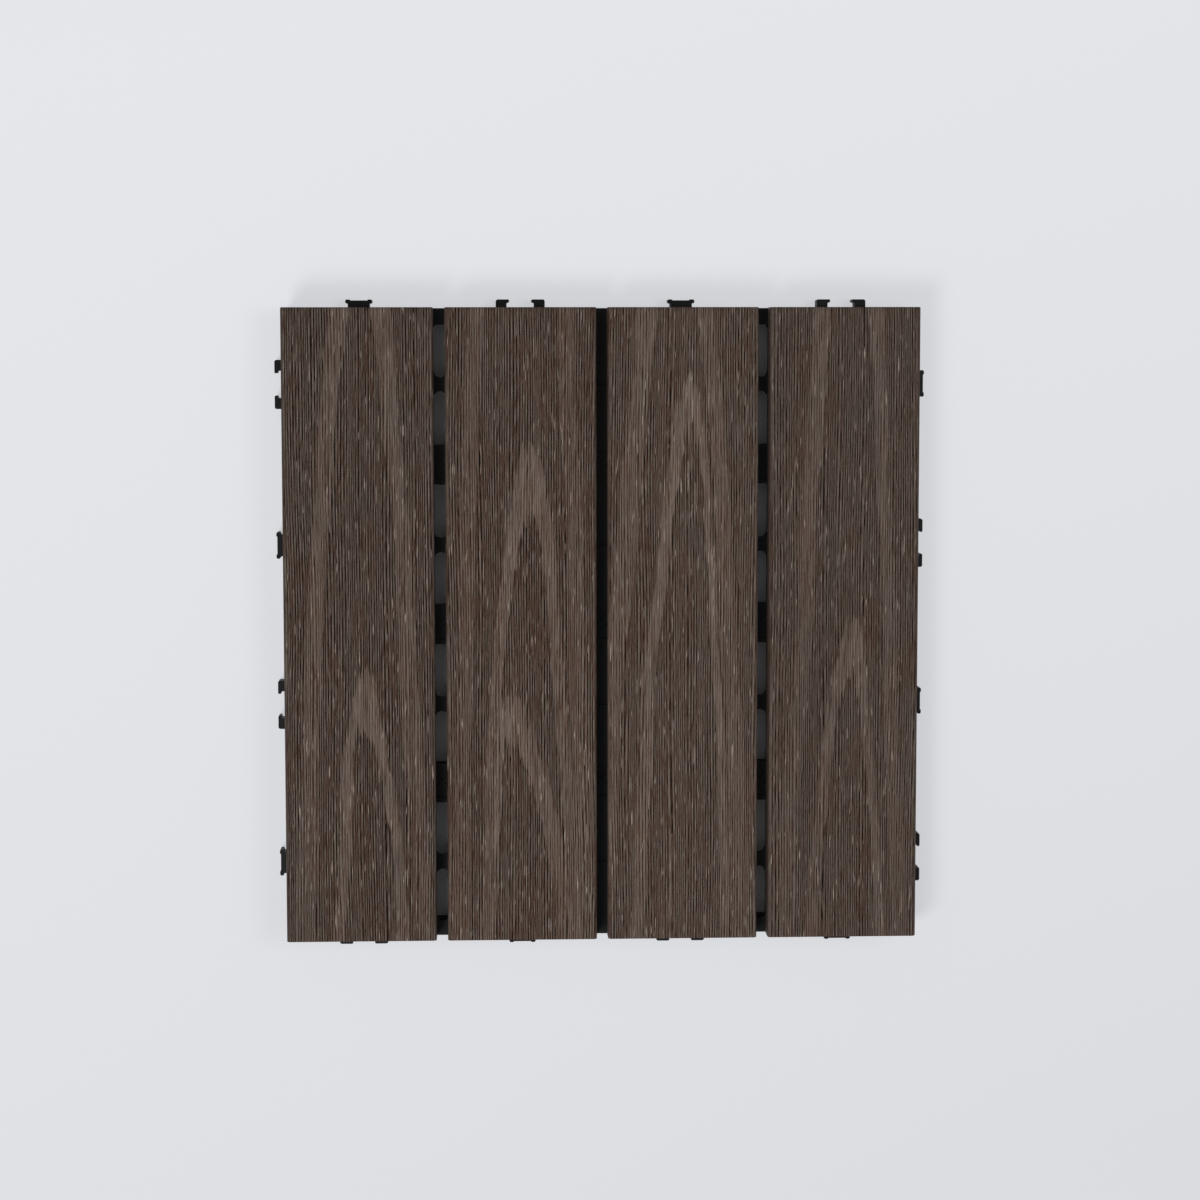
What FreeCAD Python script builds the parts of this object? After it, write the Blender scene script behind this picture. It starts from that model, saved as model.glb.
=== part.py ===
"""Interlocking deck tile: four wood-plastic boards on a moulded grid base, held by screws from below.

X runs across the boards, Y along them and Z up. The origin is on the ground under the tile's middle.
The base is made of square modules, as many a side as there are boards. Bands run under the gaps between
the boards, thinner bars cross the middle of each module, and open windows lie between them.
"""
import FreeCAD, Part
import math
import os
import Sketcher

SIZES = (
    ("modules", 4, "boards across the tile, and modules along each side of the base"),
    ("board_wide", 71.0, "width of one board"),
    ("board_gap", 5.33, "gap between neighbouring boards"),
    ("board_thick", 12.0, "thickness of a board"),
    ("board_edge_round", 1.3, "radius along a board's top edges"),
    ("board_under_round", 0.6, "radius along a board's lower edges"),
    ("tile_gap", 4.0, "gap between the boards of two joined tiles"),
    ("base_high", 10.0, "height of the base"),
    ("base_inset", 0.3, "how far the base's side lies inside the board ends"),
    ("base_corner_round", 3.0, "radius of the base's upright corners"),
    ("plate_thick", 2.4, "thickness of the base's top plate"),
    ("skirt_thick", 2.4, "thickness of the wall round the base"),
    ("ground_gap", 1.5, "height of the wall and the ribs above the ground"),
    ("band_wide", 18.6, "width of a band under a gap"),
    ("bar_wide", 6.6, "width of a bar between two windows"),
    ("band_rib", 1.8, "thickness of the ribs along a band's sides"),
    ("bar_rib", 2.0, "thickness of the rib under a bar"),
    ("slot_wide", 6.2, "width of a drain slot"),
    ("recess_side", 14.0, "side of the recess where two bands cross"),
    ("recess_deep", 0.8, "depth of that recess, and of the marks across the bands"),
    ("recess_cross", 1.6, "width of the diagonal cross left in the recess"),
    ("mark_wide", 1.6, "width of the mark where a bar meets a band"),
    ("ring_foot_wide", 16.8, "outer diameter of the ring feet under the crossings"),
    ("ring_foot_wall", 1.8, "wall of a ring foot"),
    ("post_foot_side", 6.4, "side of the other feet, which are square"),
    ("connector_out", 3.8, "how far a connector stands out past the boards"),
    ("connector_low", 1.0, "height of a connector's lower end"),
    ("connector_high", 9.0, "height of a connector's top"),
    ("tab_neck_wide", 10.2, "width of a tab's neck"),
    ("tab_head_wide", 12.6, "width of a tab's head"),
    ("tab_head_deep", 1.9, "thickness of a tab's head"),
    ("tab_lobe_round", 0.8, "radius of the lobes at the ends of a tab's head"),
    ("tab_hollow_wide", 9.0, "width of the hollow in the outer side of a tab's head"),
    ("tab_hollow_deep", 0.45, "depth of that hollow"),
    ("hook_shank_wide", 5.1, "width of a hook's shank"),
    ("hook_tip_deep", 1.5, "thickness of a hook's tip"),
    ("hook_tip_round", 0.55, "radius of a hook's tip"),
    ("hook_corner_round", 1.0, "radius of a hook's outer corner"),
    ("snap_clear", 0.15, "room on each side between a tab and its hooks"),
    ("screw_wide", 3.5, "diameter of a screw's shank"),
    ("screw_long", 13.0, "length of a screw under its head"),
    ("screw_tip_long", 3.2, "length of a screw's point"),
    ("head_wide", 7.0, "diameter of a screw's head"),
    ("head_high", 2.2, "height of a screw's head"),
    ("head_edge_high", 0.8, "height of the straight edge of a screw's head"),
    ("head_flat_wide", 4.6, "diameter of the flat end of a screw's head"),
    ("drive_wide", 4.0, "length of each arm of the cross cut in a screw's head"),
    ("drive_slot", 0.9, "width of each arm of the cross cut"),
    ("drive_deep", 1.3, "depth of the cross cut"),
    ("boss_wide", 10.4, "diameter of a screw boss"),
    ("boss_low", 2.0, "height of a boss's lower end"),
    ("seat_thick", 5.0, "thickness that a screw clamps under a board"),
    ("shank_clear", 0.2, "room round a screw's shank in its boss"),
    ("head_clear", 0.3, "room round a screw's head in its boss"),
    ("bite_clear", 0.02, "room between a screw and the board that it cuts into"),
    ("bite_spare", 0.5, "depth of a board's hole beyond the screw's point"),
)

PLAN = (
    ("deck_side", "Sizes.modules * Sizes.board_wide + (Sizes.modules - 1) * Sizes.board_gap"),
    ("pitch", "(Plan.deck_side + Sizes.tile_gap) / Sizes.modules"),
    ("board_pitch", "Sizes.board_wide + Sizes.board_gap"),
    ("base_half", "Plan.deck_side / 2 - Sizes.base_inset"),
    ("plate_low", "Sizes.base_high - Sizes.plate_thick"),
    ("rib_high", "Plan.plate_low - Sizes.ground_gap"),
    ("first_module", "-(Sizes.modules - 1) / 2 * Plan.pitch"),
    ("first_band", "Plan.first_module + Plan.pitch / 2"),
    ("band_half", "Sizes.band_wide / 2"),
    ("bar_half", "Sizes.bar_wide / 2"),
    ("window", "Plan.pitch / 2 - Plan.band_half - Plan.bar_half"),
    ("window_mid", "Plan.bar_half + Plan.window / 2"),
    ("window_far", "Plan.bar_half + Plan.window"),
    ("edge_foot", "Plan.base_half - Sizes.skirt_thick / 2 - Sizes.post_foot_side / 2"),
    ("reach", "Plan.deck_side / 2 + Sizes.connector_out"),
    ("root", "Plan.base_half - Sizes.skirt_thick / 2"),
    ("tip_half", "Sizes.tab_neck_wide / 2 + Sizes.snap_clear"),
    ("shank_half", "Sizes.tab_head_wide / 2 + Sizes.snap_clear"),
    ("seat", "Sizes.base_high - Sizes.seat_thick"),
    ("rib_stop", "(Sizes.boss_wide + Sizes.head_wide) / 4 + Sizes.head_clear / 2"),
    ("bite", "Sizes.screw_long - Sizes.seat_thick + Sizes.bite_spare"),
)

SCREW_GRID = (
    ("X_Axis", "2 * Plan.window_mid", "2"),
    ("X_Axis", "Plan.pitch", "Sizes.modules"),
    ("Y_Axis", "(Sizes.modules - 1) * Plan.pitch", "2"),
)

ORIGIN_POINT = (-1, 1)
START = 1
END = 2


def fill_sheet(doc):
    """Put each driving size in its own named cell."""
    sheet = doc.addObject("Spreadsheet::Sheet", "Sizes")
    for row, (alias, number, meaning) in enumerate(SIZES, start=1):
        sheet.set("A%d" % row, meaning)
        sheet.set("B%d" % row, str(number))
        sheet.setAlias("B%d" % row, alias)
    doc.recompute()
    return sheet


def fill_plan(doc):
    """Work out the places that several pieces share."""
    plan = doc.addObject("App::VarSet", "Plan")
    for name, text in PLAN:
        plan.addProperty("App::PropertyFloat", name, "Plan")
        plan.setExpression(name, text)
    doc.recompute()
    return plan


def sketch_on(body, name, height="0", role="XY_Plane"):
    """Start a sketch on one of the body's own planes, raised by a height."""
    plane = [item for item in body.Origin.OriginFeatures if item.Role == role][0]
    sketch = body.newObject("Sketcher::SketchObject", name)
    sketch.AttachmentSupport = (plane, [""])
    sketch.MapMode = "FlatFace"
    sketch.setExpression("AttachmentOffset.Base.z", height)
    return sketch


def hold_point(sketch, item, end, across, along):
    """Hold a point of the sketch at two distances from its origin."""
    for kind, text in (("DistanceX", across), ("DistanceY", along)):
        number = sketch.evalExpression(text)
        index = sketch.addConstraint(Sketcher.Constraint(kind, *ORIGIN_POINT, item, end, number))
        sketch.setExpression("Constraints[%d]" % index, text)


def add_circle(sketch, across, along, diameter):
    """Draw a circle with its centre and diameter tied to the sizes."""
    centre = FreeCAD.Vector(sketch.evalExpression(across), sketch.evalExpression(along), 0)
    number = sketch.evalExpression(diameter)
    item = sketch.addGeometry(Part.Circle(centre, FreeCAD.Vector(0, 0, 1), number / 2), False)
    hold_point(sketch, item, 3, across, along)
    index = sketch.addConstraint(Sketcher.Constraint("Diameter", item, number))
    sketch.setExpression("Constraints[%d]" % index, diameter)


def corner_cut(before, corner, after, radius):
    """Give the turn at a corner and how far its arc reaches along each side."""
    inward = (corner - before).normalize()
    outward = (after - corner).normalize()
    turn = math.atan2(inward.cross(outward).z, inward.dot(outward))
    return turn, radius * math.tan(abs(turn) / 2)


def corner_arc(corner, inward, turn, reach, radius):
    """Give the arc that rounds a corner, and which of its ends comes first along the outline."""
    side = math.copysign(1, turn)
    start = corner - inward * reach
    to_centre = FreeCAD.Vector(-inward.y, inward.x, 0) * side * radius
    centre = start + to_centre
    first = math.atan2(-to_centre.y, -to_centre.x)
    low, high = sorted((first, first + turn))
    arc = Part.ArcOfCircle(Part.Circle(centre, FreeCAD.Vector(0, 0, 1), radius), low, high)
    return arc, (START, END) if side > 0 else (END, START)


def add_outline(sketch, corners):
    """Draw a closed outline. Each corner is its two places and a radius, or None for a sharp one."""
    places = [FreeCAD.Vector(sketch.evalExpression(x), sketch.evalExpression(y), 0) for x, y, _ in corners]
    radii = [sketch.evalExpression(r) if r else 0.0 for _, _, r in corners]
    count = len(corners)
    cuts = []
    for i in range(count):
        cuts.append(corner_cut(places[i - 1], places[i], places[(i + 1) % count], radii[i]))
    ways = [(places[(i + 1) % count] - places[i]).normalize() for i in range(count)]
    lines = []
    for i in range(count):
        start = places[i] + ways[i] * cuts[i][1]
        end = places[(i + 1) % count] - ways[i] * cuts[(i + 1) % count][1]
        lines.append(sketch.addGeometry(Part.LineSegment(start, end), False))
    for i, (across, along, radius) in enumerate(corners):
        arriving, leaving = lines[i - 1], lines[i]
        if not radius:
            sketch.addConstraint(Sketcher.Constraint("Coincident", arriving, END, leaving, START))
            hold_point(sketch, leaving, START, across, along)
            continue
        shape, (first, last) = corner_arc(places[i], ways[i - 1], cuts[i][0], cuts[i][1], radii[i])
        arc = sketch.addGeometry(shape, False)
        sketch.addConstraint(Sketcher.Constraint("Tangent", arriving, END, arc, first))
        sketch.addConstraint(Sketcher.Constraint("Tangent", arc, last, leaving, START))
        index = sketch.addConstraint(Sketcher.Constraint("Radius", arc, radii[i]))
        sketch.setExpression("Constraints[%d]" % index, radius)
        point = sketch.addGeometry(Part.Point(places[i]), True)
        hold_point(sketch, point, START, across, along)
        sketch.addConstraint(Sketcher.Constraint("PointOnObject", point, START, arriving))
        sketch.addConstraint(Sketcher.Constraint("PointOnObject", point, START, leaving))


def add_slot(sketch, left, right, low, high, low_round, high_round):
    """Draw a slot along the sketch's second way, with each end round or flat."""
    across = FreeCAD.Vector(sketch.evalExpression(right) - sketch.evalExpression(left), 0, 0)
    radius = "(%s - (%s)) / 2" % (right, left)
    first = "%s + %s" % (low, radius) if low_round else low
    last = "%s - %s" % (high, radius) if high_round else high
    start = FreeCAD.Vector(sketch.evalExpression(left), sketch.evalExpression(first), 0)
    end = FreeCAD.Vector(sketch.evalExpression(left), sketch.evalExpression(last), 0)
    left_line = sketch.addGeometry(Part.LineSegment(end, start), False)
    right_line = sketch.addGeometry(Part.LineSegment(start + across, end + across), False)
    hold_point(sketch, left_line, START, left, last)
    hold_point(sketch, left_line, END, left, first)
    hold_point(sketch, right_line, START, right, first)
    hold_point(sketch, right_line, END, right, last)
    close_slot(sketch, left_line, right_line, low_round, start, across, math.pi)
    close_slot(sketch, right_line, left_line, high_round, end, across, 0.0)


def close_slot(sketch, arriving, leaving, is_round, place, across, angle):
    """Close one end of a slot with a half circle or a straight edge."""
    if is_round:
        circle = Part.Circle(place + across / 2, FreeCAD.Vector(0, 0, 1), across.x / 2)
        item = sketch.addGeometry(Part.ArcOfCircle(circle, angle, angle + math.pi), False)
        sketch.addConstraint(Sketcher.Constraint("Tangent", arriving, END, item, START))
    else:
        near, far = (place, place + across) if angle else (place + across, place)
        item = sketch.addGeometry(Part.LineSegment(near, far), False)
        sketch.addConstraint(Sketcher.Constraint("Coincident", arriving, END, item, START))
    sketch.addConstraint(Sketcher.Constraint("Coincident", item, END, leaving, START))


def add_rectangle(sketch, left, right, low, high, radius=None):
    """Draw a rectangle, with round corners where a radius is given."""
    add_outline(sketch, [(left, low, radius), (right, low, radius), (right, high, radius), (left, high, radius)])


def extrude(body, kind, sketch, name, length):
    """Pad or pocket a sketch by a length."""
    feature = body.newObject("PartDesign::" + kind, name)
    feature.Profile = sketch
    feature.setExpression("Length", length)
    feature.Refine = False
    return feature


def revolve(body, sketch, name):
    """Turn a half section about the sketch's upright axis."""
    feature = body.newObject("PartDesign::Revolution", name)
    feature.Profile = sketch
    feature.ReferenceAxis = (sketch, ["V_Axis"])
    feature.Angle = 360.0
    feature.Refine = False
    return feature


def repeated(body, name, originals, steps):
    """Repeat features. Each step is an axis, a spacing along it or an angle about Z, and a count."""
    axis = {item.Role: item for item in body.Origin.OriginFeatures}
    whole = body.newObject("PartDesign::MultiTransform", name)
    whole.Originals = originals if isinstance(originals, list) else [originals]
    parts = []
    for number, (role, spacing, count) in enumerate(steps, start=1):
        if role == "Z_Axis":
            step = body.newObject("PartDesign::PolarPattern", "%s_step_%d" % (name, number))
            step.Axis = (axis[role], [""])
            step.setExpression("Angle", spacing)
        else:
            step = body.newObject("PartDesign::LinearPattern", "%s_step_%d" % (name, number))
            step.Direction = (axis[role], [""])
            step.Mode = "Spacing"
            step.setExpression("Offset", spacing)
        step.setExpression("Occurrences", count)
        parts.append(step)
    whole.Transformations = parts
    whole.Refine = False
    body.Tip = whole
    return whole


def place_first_screw(body, height):
    """Put a body's origin at the first screw, at a height."""
    body.setExpression("Placement.Base.x", "Plan.first_module - Plan.window_mid")
    body.setExpression("Placement.Base.y", "Plan.first_module")
    body.setExpression("Placement.Base.z", height)


def new_body(doc, label):
    """Start a body that may hold several separate solids."""
    body = doc.addObject("PartDesign::Body", label)
    body.Label = label
    body.AllowCompound = True
    return body


def module_middle(index):
    """Say where the middle of a row of modules lies."""
    return "Plan.first_module + %d * Plan.pitch " % index


def band_middle(index):
    """Say where the middle of a band lies."""
    return "Plan.first_band + %d * Plan.pitch " % index


def add_plate(body):
    """Make the top plate."""
    half = "Plan.base_half"
    sketch = sketch_on(body, "plate_outline", "Plan.plate_low")
    add_rectangle(sketch, "-" + half, half, "-" + half, half, "Sizes.base_corner_round")
    extrude(body, "Pad", sketch, "plate", "Sizes.plate_thick")


def add_windows(body):
    """Cut the four windows of each module through the plate."""
    sketch = sketch_on(body, "window_outline", "Sizes.base_high")
    module = "Plan.first_module "
    sides = ((module + "- Plan.window_far", module + "- Plan.bar_half"),
             (module + "+ Plan.bar_half", module + "+ Plan.window_far"))
    for left, right in sides:
        for low, high in sides:
            add_rectangle(sketch, left, right, low, high)
    windows = extrude(body, "Pocket", sketch, "window_cut", "Sizes.plate_thick")
    step = ("Plan.pitch", "Sizes.modules")
    repeated(body, "windows", windows, [("X_Axis", *step), ("Y_Axis", *step)])


def add_slots(body, modules):
    """Cut the drain slots along the outer bands, round beside the bars and at the tile's sides."""
    sketch = sketch_on(body, "slot_outlines", "Sizes.base_high")
    left = band_middle(modules - 2) + "- Sizes.slot_wide / 2"
    right = band_middle(modules - 2) + "+ Sizes.slot_wide / 2"
    for module in range(modules):
        near = module_middle(module) + "- Plan."
        far = module_middle(module) + "+ Plan."
        add_slot(sketch, left, right, near + "window_far", near + "bar_half", module == 0, True)
        add_slot(sketch, left, right, far + "bar_half", far + "window_far", True, module == modules - 1)
    slots = extrude(body, "Pocket", sketch, "slot_cut", "Sizes.plate_thick")
    repeated(body, "slots", slots, [("Z_Axis", "360", "4")])


def add_recesses(body):
    """Cut the recess where two bands cross, leaving a diagonal cross in it."""
    sketch = sketch_on(body, "recess_outline", "Sizes.base_high")
    band = "Plan.first_band"
    side = " Sizes.recess_side / 2"
    tip = " Sizes.recess_cross * cos(45)"
    foot = " (Sizes.recess_side / 2 - Sizes.recess_cross * cos(45))"
    for sign, other in (("-", "+"), ("+", "-")):
        add_outline(sketch, [(band + sign + foot, band + sign + side, None),
                             (band + other + foot, band + sign + side, None),
                             (band, band + sign + tip, None)])
        add_outline(sketch, [(band + sign + side, band + sign + foot, None),
                             (band + sign + side, band + other + foot, None),
                             (band + sign + tip, band, None)])
    recess = extrude(body, "Pocket", sketch, "recess_cut", "Sizes.recess_deep")
    step = ("Plan.pitch", "Sizes.modules - 1")
    repeated(body, "recesses", recess, [("X_Axis", *step), ("Y_Axis", *step)])


def add_marks(body, modules):
    """Cut the narrow marks where the bars meet the middle bands."""
    sketch = sketch_on(body, "mark_outlines", "Sizes.base_high")
    for module in range(modules):
        low = module_middle(module) + "- Sizes.mark_wide / 2"
        high = module_middle(module) + "+ Sizes.mark_wide / 2"
        add_rectangle(sketch, "-Plan.band_half", "Plan.band_half", low, high)
        add_rectangle(sketch, low, high, "-Plan.band_half", "Plan.band_half")
    extrude(body, "Pocket", sketch, "marks", "Sizes.recess_deep")


def boss_places(modules):
    """List the screw places: beside the middle of each module in the first and last rows."""
    rows = (module_middle(0), module_middle(modules - 1))
    return [(module_middle(module) + sign + " Plan.window_mid", row)
            for row in rows for module in range(modules) for sign in ("-", "+")]


def make_plate(doc, modules):
    """Make the pierced top plate, with a hole for each screw."""
    body = new_body(doc, "base_plate")
    add_plate(body)
    add_windows(body)
    add_slots(body, modules)
    add_recesses(body)
    add_marks(body, modules)
    holes = sketch_on(body, "plate_hole_outlines", "Sizes.base_high")
    for across, along in boss_places(modules):
        add_circle(holes, across, along, "Sizes.screw_wide + 2 * Sizes.shank_clear")
    extrude(body, "Pocket", holes, "plate_holes", "Sizes.plate_thick")
    return body


def make_tabs(doc):
    """Make the tabs: a neck, and a head with a lobe at each end and a hollow outer side."""
    body = new_body(doc, "base_tabs")
    sketch = sketch_on(body, "tab_outline", "Sizes.connector_low")
    neck = "Sizes.tab_neck_wide / 2"
    head = "Sizes.tab_head_wide / 2"
    inner = "Plan.reach - Sizes.tab_head_deep"
    floor = "Plan.reach - Sizes.tab_hollow_deep"
    rim = "Sizes.tab_hollow_wide / 2"
    dip = "(Sizes.tab_hollow_wide / 2 - Sizes.tab_hollow_deep)"
    lobe = "Sizes.tab_lobe_round"
    right = "Plan.first_module + "
    left = "Plan.first_module - "
    add_outline(sketch, [(left + neck, "Plan.root", None), (right + neck, "Plan.root", None),
                         (right + neck, inner, None), (right + head, inner, lobe),
                         (right + head, "Plan.reach", lobe), (right + rim, "Plan.reach", None),
                         (right + dip, floor, None), (left + dip, floor, None),
                         (left + rim, "Plan.reach", None), (left + head, "Plan.reach", lobe),
                         (left + head, inner, lobe), (left + neck, inner, None)])
    tab = extrude(body, "Pad", sketch, "tab", "Sizes.connector_high - Sizes.connector_low")
    repeated(body, "tabs", tab, [("X_Axis", "2 * Plan.pitch", "Sizes.modules / 2"), ("Z_Axis", "360", "4")])
    return body


def make_hooks(doc):
    """Make the pairs of hooks that a neighbour's tab drops between."""
    body = new_body(doc, "base_hooks")
    sketch = sketch_on(body, "hook_outline", "Sizes.connector_low")
    far = "(Plan.shank_half + Sizes.hook_shank_wide)"
    under = "Plan.reach - Sizes.hook_tip_deep"
    tip_round = "Sizes.hook_tip_round"
    for sign in ("+ ", "- "):
        side = module_middle(1) + sign
        corners = [(side + "Plan.shank_half", "Plan.root", None), (side + far, "Plan.root", None),
                   (side + far, "Plan.reach", "Sizes.hook_corner_round"),
                   (side + "Plan.tip_half", "Plan.reach", tip_round), (side + "Plan.tip_half", under, tip_round),
                   (side + "Plan.shank_half", under, tip_round)]
        add_outline(sketch, corners if sign == "+ " else corners[::-1])
    hook = extrude(body, "Pad", sketch, "hook", "Sizes.connector_high - Sizes.connector_low")
    repeated(body, "hooks", hook, [("X_Axis", "2 * Plan.pitch", "Sizes.modules / 2"), ("Z_Axis", "360", "4")])
    return body


def make_skirt(doc):
    """Make the wall round the base."""
    body = new_body(doc, "base_skirt")
    half = "Plan.base_half"
    inner = "Plan.base_half - Sizes.skirt_thick"
    sketch = sketch_on(body, "skirt_outline", "Sizes.ground_gap")
    add_rectangle(sketch, "-" + half, half, "-" + half, half, "Sizes.base_corner_round")
    add_rectangle(sketch, "-(%s)" % inner, inner, "-(%s)" % inner, inner)
    extrude(body, "Pad", sketch, "skirt", "Plan.rib_high")
    return body


def make_bosses(doc):
    """Make the screw bosses, each turned with a hole for the shank and a wider one for the head."""
    body = new_body(doc, "base_bosses")
    sketch = sketch_on(body, "boss_half_section", "0", "XZ_Plane")
    outer = "Sizes.boss_wide / 2"
    bore = "Sizes.screw_wide / 2 + Sizes.shank_clear"
    sink = "Sizes.head_wide / 2 + Sizes.head_clear"
    add_outline(sketch, [(sink, "Sizes.boss_low", None), (outer, "Sizes.boss_low", None),
                         (outer, "Sizes.base_high", None), (bore, "Sizes.base_high", None),
                         (bore, "Plan.seat", None), (sink, "Plan.seat", None)])
    boss = revolve(body, sketch, "boss")
    repeated(body, "bosses", boss, SCREW_GRID)
    place_first_screw(body, "0")
    return body


def add_square(sketch, across, along, side):
    """Draw a square about a middle."""
    half = " %s / 2" % side
    add_rectangle(sketch, across + " -" + half, across + " +" + half, along + " -" + half, along + " +" + half)


def make_feet(doc, modules):
    """Make ring feet under the crossings, and square feet under the bars, the sides and the corners."""
    body = new_body(doc, "base_feet")
    rings = sketch_on(body, "ring_foot_outline")
    add_circle(rings, band_middle(0), band_middle(0), "Sizes.ring_foot_wide")
    add_circle(rings, band_middle(0), band_middle(0), "Sizes.ring_foot_wide - 2 * Sizes.ring_foot_wall")
    ring = extrude(body, "Pad", rings, "ring_foot", "Plan.plate_low")
    step = ("Plan.pitch", "Sizes.modules - 1")
    repeated(body, "ring_feet", ring, [("X_Axis", *step), ("Y_Axis", *step)])
    posts = sketch_on(body, "post_foot_outline")
    add_square(posts, module_middle(0), module_middle(0), "Sizes.post_foot_side")
    post = extrude(body, "Pad", posts, "post_foot", "Plan.plate_low")
    step = ("Plan.pitch", "Sizes.modules")
    repeated(body, "post_feet", post, [("X_Axis", *step), ("Y_Axis", *step)])
    sides = sketch_on(body, "side_foot_outlines")
    for along in ["-Plan.edge_foot"] + [band_middle(band) for band in range(modules - 1)]:
        add_square(sides, "-Plan.edge_foot", along, "Sizes.post_foot_side")
    side = extrude(body, "Pad", sides, "side_foot", "Plan.plate_low")
    repeated(body, "side_feet", side, [("Z_Axis", "360", "4")])
    return body


def rib_sides(modules):
    """List the two sides of each rib: one under each bar and one along each side of a band."""
    sides = [(module_middle(module) + "- Sizes.bar_rib / 2", module_middle(module) + "+ Sizes.bar_rib / 2")
             for module in range(modules)]
    for band in range(modules - 1):
        low = band_middle(band) + "- Plan.band_half"
        high = band_middle(band) + "+ Plan.band_half"
        sides.append((low, low + " + Sizes.band_rib"))
        sides.append((high + " - Sizes.band_rib", high))
    return sides


def make_ribs(doc, modules):
    """Make the lattice of ribs: all those along the boards, those across, and those between bosses."""
    along = new_body(doc, "base_ribs_along")
    across = new_body(doc, "base_ribs_across")
    broken = new_body(doc, "base_ribs_broken")
    along_lines = sketch_on(along, "rib_along_outlines", "Sizes.ground_gap")
    across_lines = sketch_on(across, "rib_across_outlines", "Sizes.ground_gap")
    broken_lines = sketch_on(broken, "rib_broken_outlines", "Sizes.ground_gap")
    sides = rib_sides(modules)
    for index, (low, high) in enumerate(sides):
        add_rectangle(along_lines, low, high, "-Plan.root", "Plan.root")
        if index not in (0, modules - 1):
            add_rectangle(across_lines, "-Plan.root", "Plan.root", low, high)
    places = [module_middle(module) + sign + " Plan.window_mid"
              for module in range(modules) for sign in ("-", "+")]
    starts = ["-Plan.root"] + [place + " + Plan.rib_stop" for place in places]
    ends = [place + " - Plan.rib_stop" for place in places] + ["Plan.root"]
    for left, right in zip(starts, ends):
        add_rectangle(broken_lines, left, right, *sides[0])
    extrude(along, "Pad", along_lines, "ribs_along", "Plan.rib_high")
    extrude(across, "Pad", across_lines, "ribs_across", "Plan.rib_high")
    stretches = extrude(broken, "Pad", broken_lines, "rib_stretches", "Plan.rib_high")
    repeated(broken, "ribs_broken", stretches, [("Y_Axis", "(Sizes.modules - 1) * Plan.pitch", "2")])
    return [along, across, broken]


def make_base(doc, modules):
    """Join what the mould makes in one piece."""
    pieces = [make_plate(doc, modules), make_skirt(doc), make_tabs(doc), make_hooks(doc), make_bosses(doc)]
    pieces += [make_feet(doc, modules)] + make_ribs(doc, modules)
    base = doc.addObject("Part::MultiFuse", "grid_base")
    base.Label = "grid_base"
    base.Shapes = pieces
    base.Refine = True
    return base


def make_board(doc, index, modules):
    """Build one board as a length of its section, with the holes that its screws cut."""
    body = new_body(doc, "deck_board_%d" % (index + 1))
    section = sketch_on(body, "board_section_%d" % (index + 1), "0", "XZ_Plane")
    half = "Sizes.board_wide / 2"
    top = "Sizes.board_edge_round"
    under = "Sizes.board_under_round"
    add_outline(section, [("-" + half, "0", under), (half, "0", under),
                          (half, "Sizes.board_thick", top), ("-" + half, "Sizes.board_thick", top)])
    board = extrude(body, "Pad", section, "board_%d" % (index + 1), "Plan.deck_side")
    board.Midplane = True
    holes = sketch_on(body, "screw_hole_outlines_%d" % (index + 1))
    shift = module_middle(index) + "- " + board_place(index)
    for row in (module_middle(0), module_middle(modules - 1)):
        for sign in (" - ", " + "):
            add_circle(holes, shift + sign + "Plan.window_mid", row, "Sizes.screw_wide + 2 * Sizes.bite_clear")
    cut = extrude(body, "Pocket", holes, "screw_holes_%d" % (index + 1), "Plan.bite")
    cut.Reversed = True
    body.setExpression("Placement.Base.x", board_place(index))
    body.setExpression("Placement.Base.z", "Sizes.base_high")
    return body


def board_place(index):
    """Say where a board's middle lies across the tile."""
    return "(%d - (Sizes.modules - 1) / 2) * Plan.board_pitch" % index


def make_screws(doc):
    """Build the screws, heads down, each at its boss."""
    body = new_body(doc, "board_screws")
    half = sketch_on(body, "screw_half_section", "0", "XZ_Plane")
    shank = "Sizes.screw_wide / 2"
    head = "Sizes.head_wide / 2"
    add_outline(half, [("0", "-Sizes.head_high", None), ("Sizes.head_flat_wide / 2", "-Sizes.head_high", None),
                       (head, "-Sizes.head_edge_high", None), (head, "0", None), (shank, "0", None),
                       (shank, "Sizes.screw_long - Sizes.screw_tip_long", None), ("0", "Sizes.screw_long", None)])
    screw = revolve(body, half, "screw")
    drive = sketch_on(body, "drive_outline", "-Sizes.head_high")
    arm = "Sizes.drive_wide / 2"
    slot = "Sizes.drive_slot / 2"
    add_outline(drive, [(slot, slot, None), (slot, arm, None), ("-" + slot, arm, None), ("-" + slot, slot, None),
                        ("-" + arm, slot, None), ("-" + arm, "-" + slot, None), ("-" + slot, "-" + slot, None),
                        ("-" + slot, "-" + arm, None), (slot, "-" + arm, None), (slot, "-" + slot, None),
                        (arm, "-" + slot, None), (arm, slot, None)])
    cut = extrude(body, "Pocket", drive, "drive_cut", "Sizes.drive_deep")
    cut.Reversed = True
    repeated(body, "screws", [screw, cut], SCREW_GRID)
    place_first_screw(body, "Plan.seat")
    return body


def check_objects(doc):
    """Stop if any object failed, or a cut took nothing away."""
    for item in doc.Objects:
        if "Invalid" in item.State or "Error" in item.State:
            raise RuntimeError("%s is %s" % (item.Name, item.State))
        if item.TypeId != "PartDesign::Pocket":
            continue
        if item.Shape.Volume >= item.BaseFeature.Shape.Volume:
            raise RuntimeError("%s cuts nothing" % item.Name)


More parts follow.
